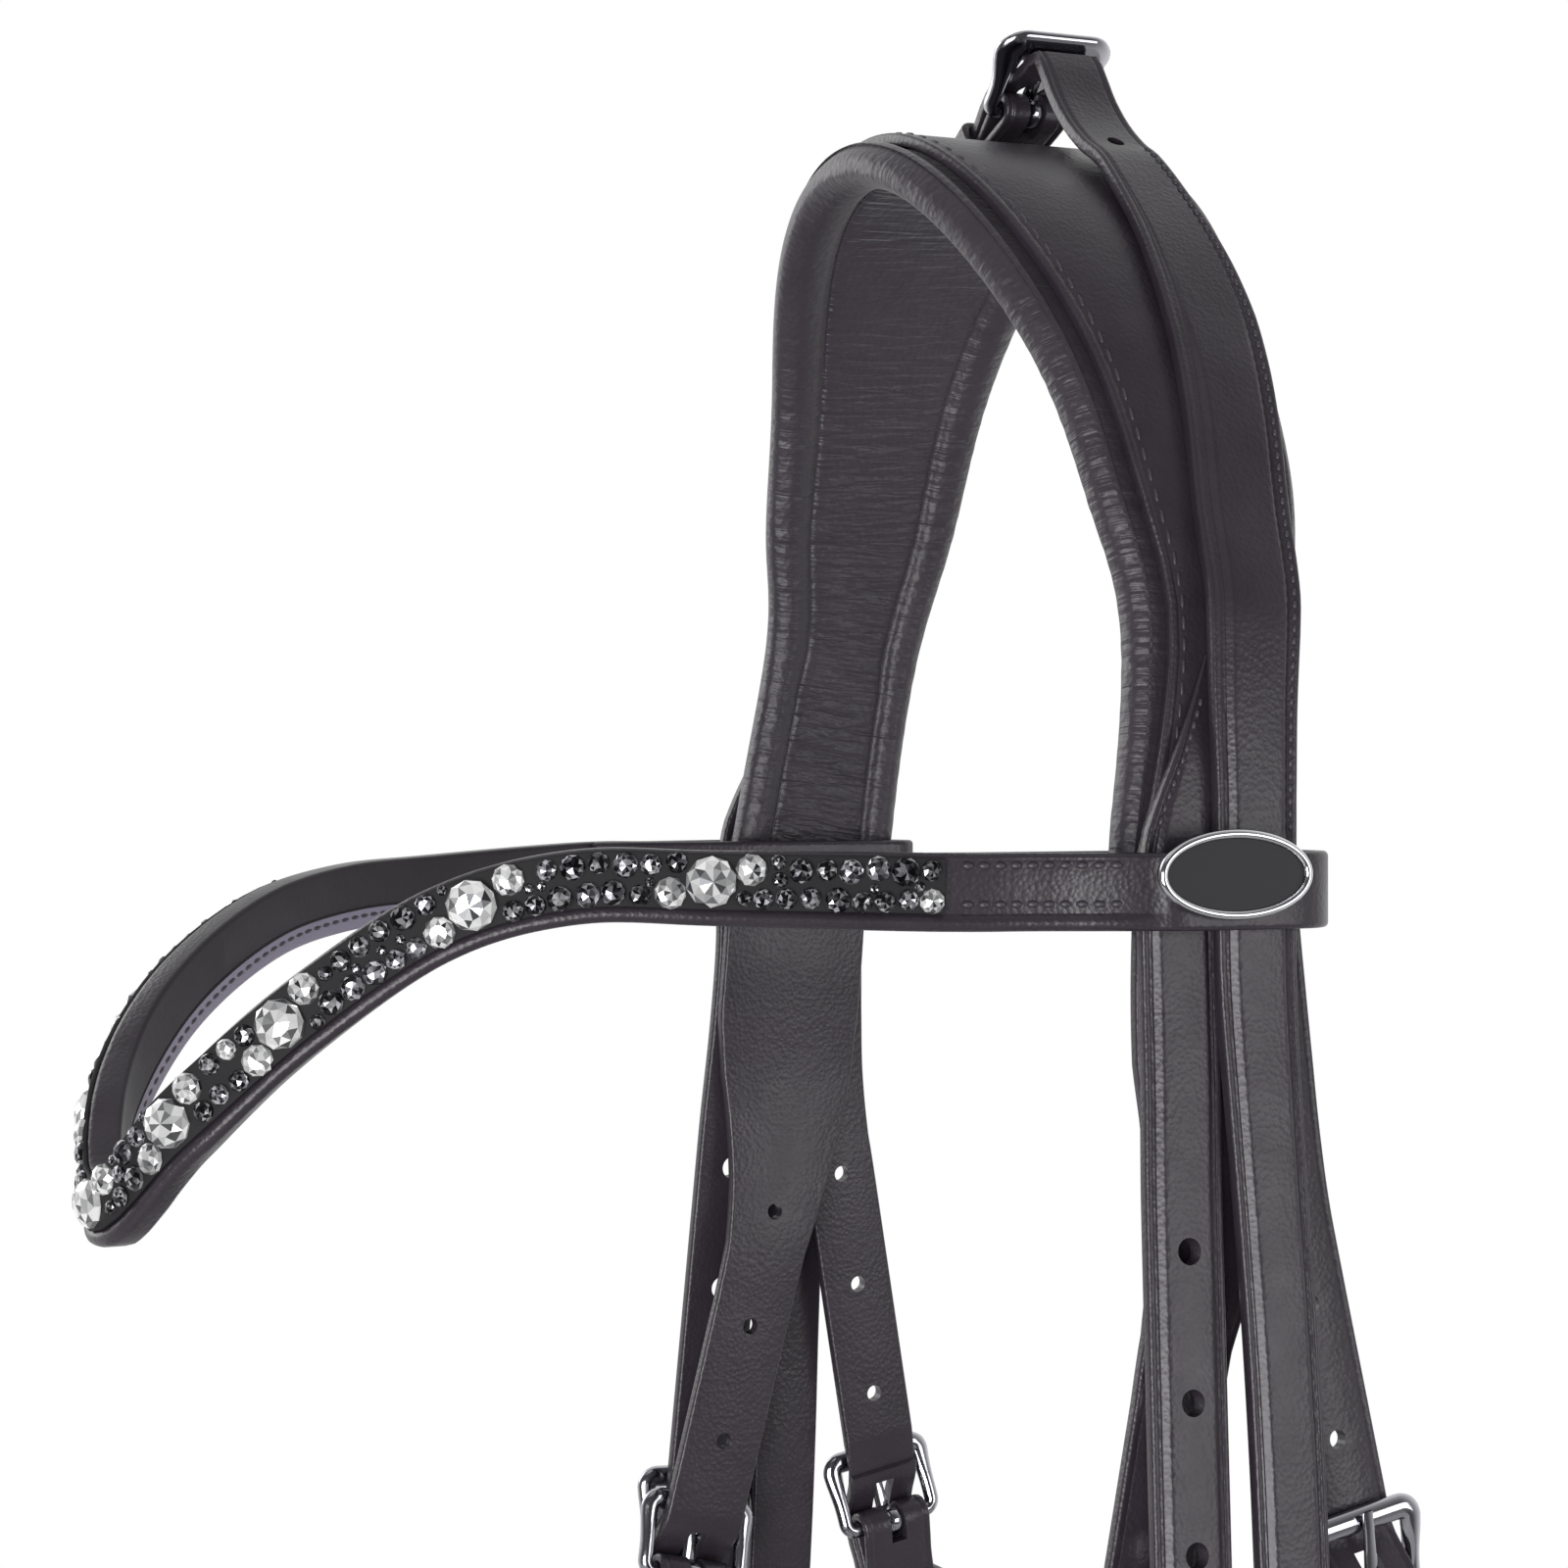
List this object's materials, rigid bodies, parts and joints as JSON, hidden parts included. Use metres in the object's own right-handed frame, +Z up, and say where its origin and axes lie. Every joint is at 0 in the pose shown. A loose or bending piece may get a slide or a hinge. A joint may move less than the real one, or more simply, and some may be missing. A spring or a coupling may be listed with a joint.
{
  "type": "snaffle bridle",
  "caption": "Black leather riding bridle: padded crown, noseband carried over the poll, buckled cheekpieces, throatlatch and a dipped browband set with crystals; no bit or reins.",
  "frame": {"origin": "underside of the poll pad's crown, midway between near and far sides", "axes": "+X to the horse's left (near) side, -Y forward over the forehead, +Z up"},
  "size_m": [0.2115, 0.2651, 0.4812],
  "materials": {
    "leather": "smooth black bridle leather, waxed",
    "lining": "soft wrinkled black lining leather",
    "steel": "polished stainless steel",
    "crystal": "foil-backed cut crystal, clear, smoky and jet",
    "badge": "black enamel in a silver rim, left bare"
  },
  "bodies": {
    "headpiece": {"headpiece_leather": "leather", "poll_pad": "lining", "throatlatch": "leather", "near_throat_billet": "leather", "near_cheekpiece": "leather", "near_cheek_buckle": "steel", "near_cheek_keeper": "leather", "near_bit_stud": "steel", "near_throat_buckle": "steel", "near_throat_keeper": "leather", "far_throat_billet": "leather", "far_cheekpiece": "leather", "far_cheek_buckle": "steel", "far_cheek_keeper": "leather", "far_bit_stud": "steel", "far_throat_buckle": "steel", "far_throat_keeper": "leather"},
    "noseband": {"poll_buckle": "steel", "poll_keeper": "leather", "noseband_band": "leather", "noseband_pad": "lining", "chin_buckle": "steel", "chin_keeper": "leather", "near_carrier": "leather", "near_front_hanger": "leather", "near_noseband_cheek": "leather", "near_hanger_buckle": "steel", "near_hanger_keeper": "leather", "far_carrier": "leather", "far_front_hanger": "leather", "far_noseband_cheek": "leather", "far_hanger_buckle": "steel", "far_hanger_keeper": "leather"},
    "browband": {"browband": "leather", "crystal_strip": "crystal", "badge": "badge"},
    "near_cheek_tongue": {"near_cheek_tongue": "steel"},
    "near_cheek_runner": {"near_cheek_runner": "leather"},
    "near_throat_tongue": {"near_throat_tongue": "steel"},
    "near_hanger_tongue": {"near_hanger_tongue": "steel"},
    "near_hanger_runner": {"near_hanger_runner": "leather"},
    "far_cheek_tongue": {"far_cheek_tongue": "steel"},
    "far_cheek_runner": {"far_cheek_runner": "leather"},
    "far_throat_tongue": {"far_throat_tongue": "steel"},
    "far_hanger_tongue": {"far_hanger_tongue": "steel"},
    "far_hanger_runner": {"far_hanger_runner": "leather"},
    "poll_tongue": {"poll_tongue": "steel"},
    "chin_tongue": {"chin_tongue": "steel"}
  },
  "joints": [
    {"name": "browband_slide", "type": "slide", "parent": "headpiece", "child": "browband", "axis": [0, 0, 1], "range_m": [-0.008, 0.008]},
    {"name": "noseband_lift", "type": "slide", "parent": "headpiece", "child": "noseband", "axis": [0, 0, 1], "range_m": [0, 0.006]},
    {"name": "near_cheek_tongue_hinge", "type": "hinge", "parent": "headpiece", "child": "near_cheek_tongue", "pos_m": [0.07478, -0.0198, -0.24807], "axis": [0.0127, 0.9746, -0.2234], "range_deg": [0, 12]},
    {"name": "near_cheek_runner_slide", "type": "slide", "parent": "headpiece", "child": "near_cheek_runner", "axis": [0.0554, -0.2238, -0.9731], "range_m": [-0.008, 0.01]},
    {"name": "near_throat_tongue_hinge", "type": "hinge", "parent": "headpiece", "child": "near_throat_tongue", "pos_m": [0.07839, 0.023, -0.22853], "axis": [-0.0102, 0.9807, 0.1955], "range_deg": [0, 30]},
    {"name": "near_hanger_tongue_hinge", "type": "hinge", "parent": "noseband", "child": "near_hanger_tongue", "pos_m": [0.08539, -0.0135, -0.24485], "axis": [0.005, 0.999, -0.0438], "range_deg": [0, 30]},
    {"name": "near_hanger_runner_slide", "type": "slide", "parent": "noseband", "child": "near_hanger_runner", "axis": [0.1131, -0.0441, -0.9926], "range_m": [-0.008, 0.01]},
    {"name": "far_cheek_tongue_hinge", "type": "hinge", "parent": "headpiece", "child": "far_cheek_tongue", "pos_m": [-0.07478, -0.0198, -0.24807], "axis": [0.0127, -0.9746, 0.2234], "range_deg": [0, 12]},
    {"name": "far_cheek_runner_slide", "type": "slide", "parent": "headpiece", "child": "far_cheek_runner", "axis": [-0.0554, -0.2238, -0.9731], "range_m": [-0.008, 0.01]},
    {"name": "far_throat_tongue_hinge", "type": "hinge", "parent": "headpiece", "child": "far_throat_tongue", "pos_m": [-0.07998, 0.0258, -0.24244], "axis": [-0.0124, -0.9806, -0.1955], "range_deg": [0, 30]},
    {"name": "far_hanger_tongue_hinge", "type": "hinge", "parent": "noseband", "child": "far_hanger_tongue", "pos_m": [-0.08539, -0.0135, -0.24485], "axis": [0.005, -0.999, 0.0438], "range_deg": [0, 30]},
    {"name": "far_hanger_runner_slide", "type": "slide", "parent": "noseband", "child": "far_hanger_runner", "axis": [-0.1131, -0.0441, -0.9926], "range_m": [-0.008, 0.01]},
    {"name": "poll_tongue_hinge", "type": "hinge", "parent": "noseband", "child": "poll_tongue", "pos_m": [-0.0064, 0.0125, 0.0168], "axis": [0, -1, 0], "range_deg": [0, 30]},
    {"name": "chin_tongue_hinge", "type": "hinge", "parent": "noseband", "child": "chin_tongue", "pos_m": [0.09927, 0.042, -0.38618], "axis": [0.1132, 0, -0.9936], "range_deg": [0, 30]}
  ]
}
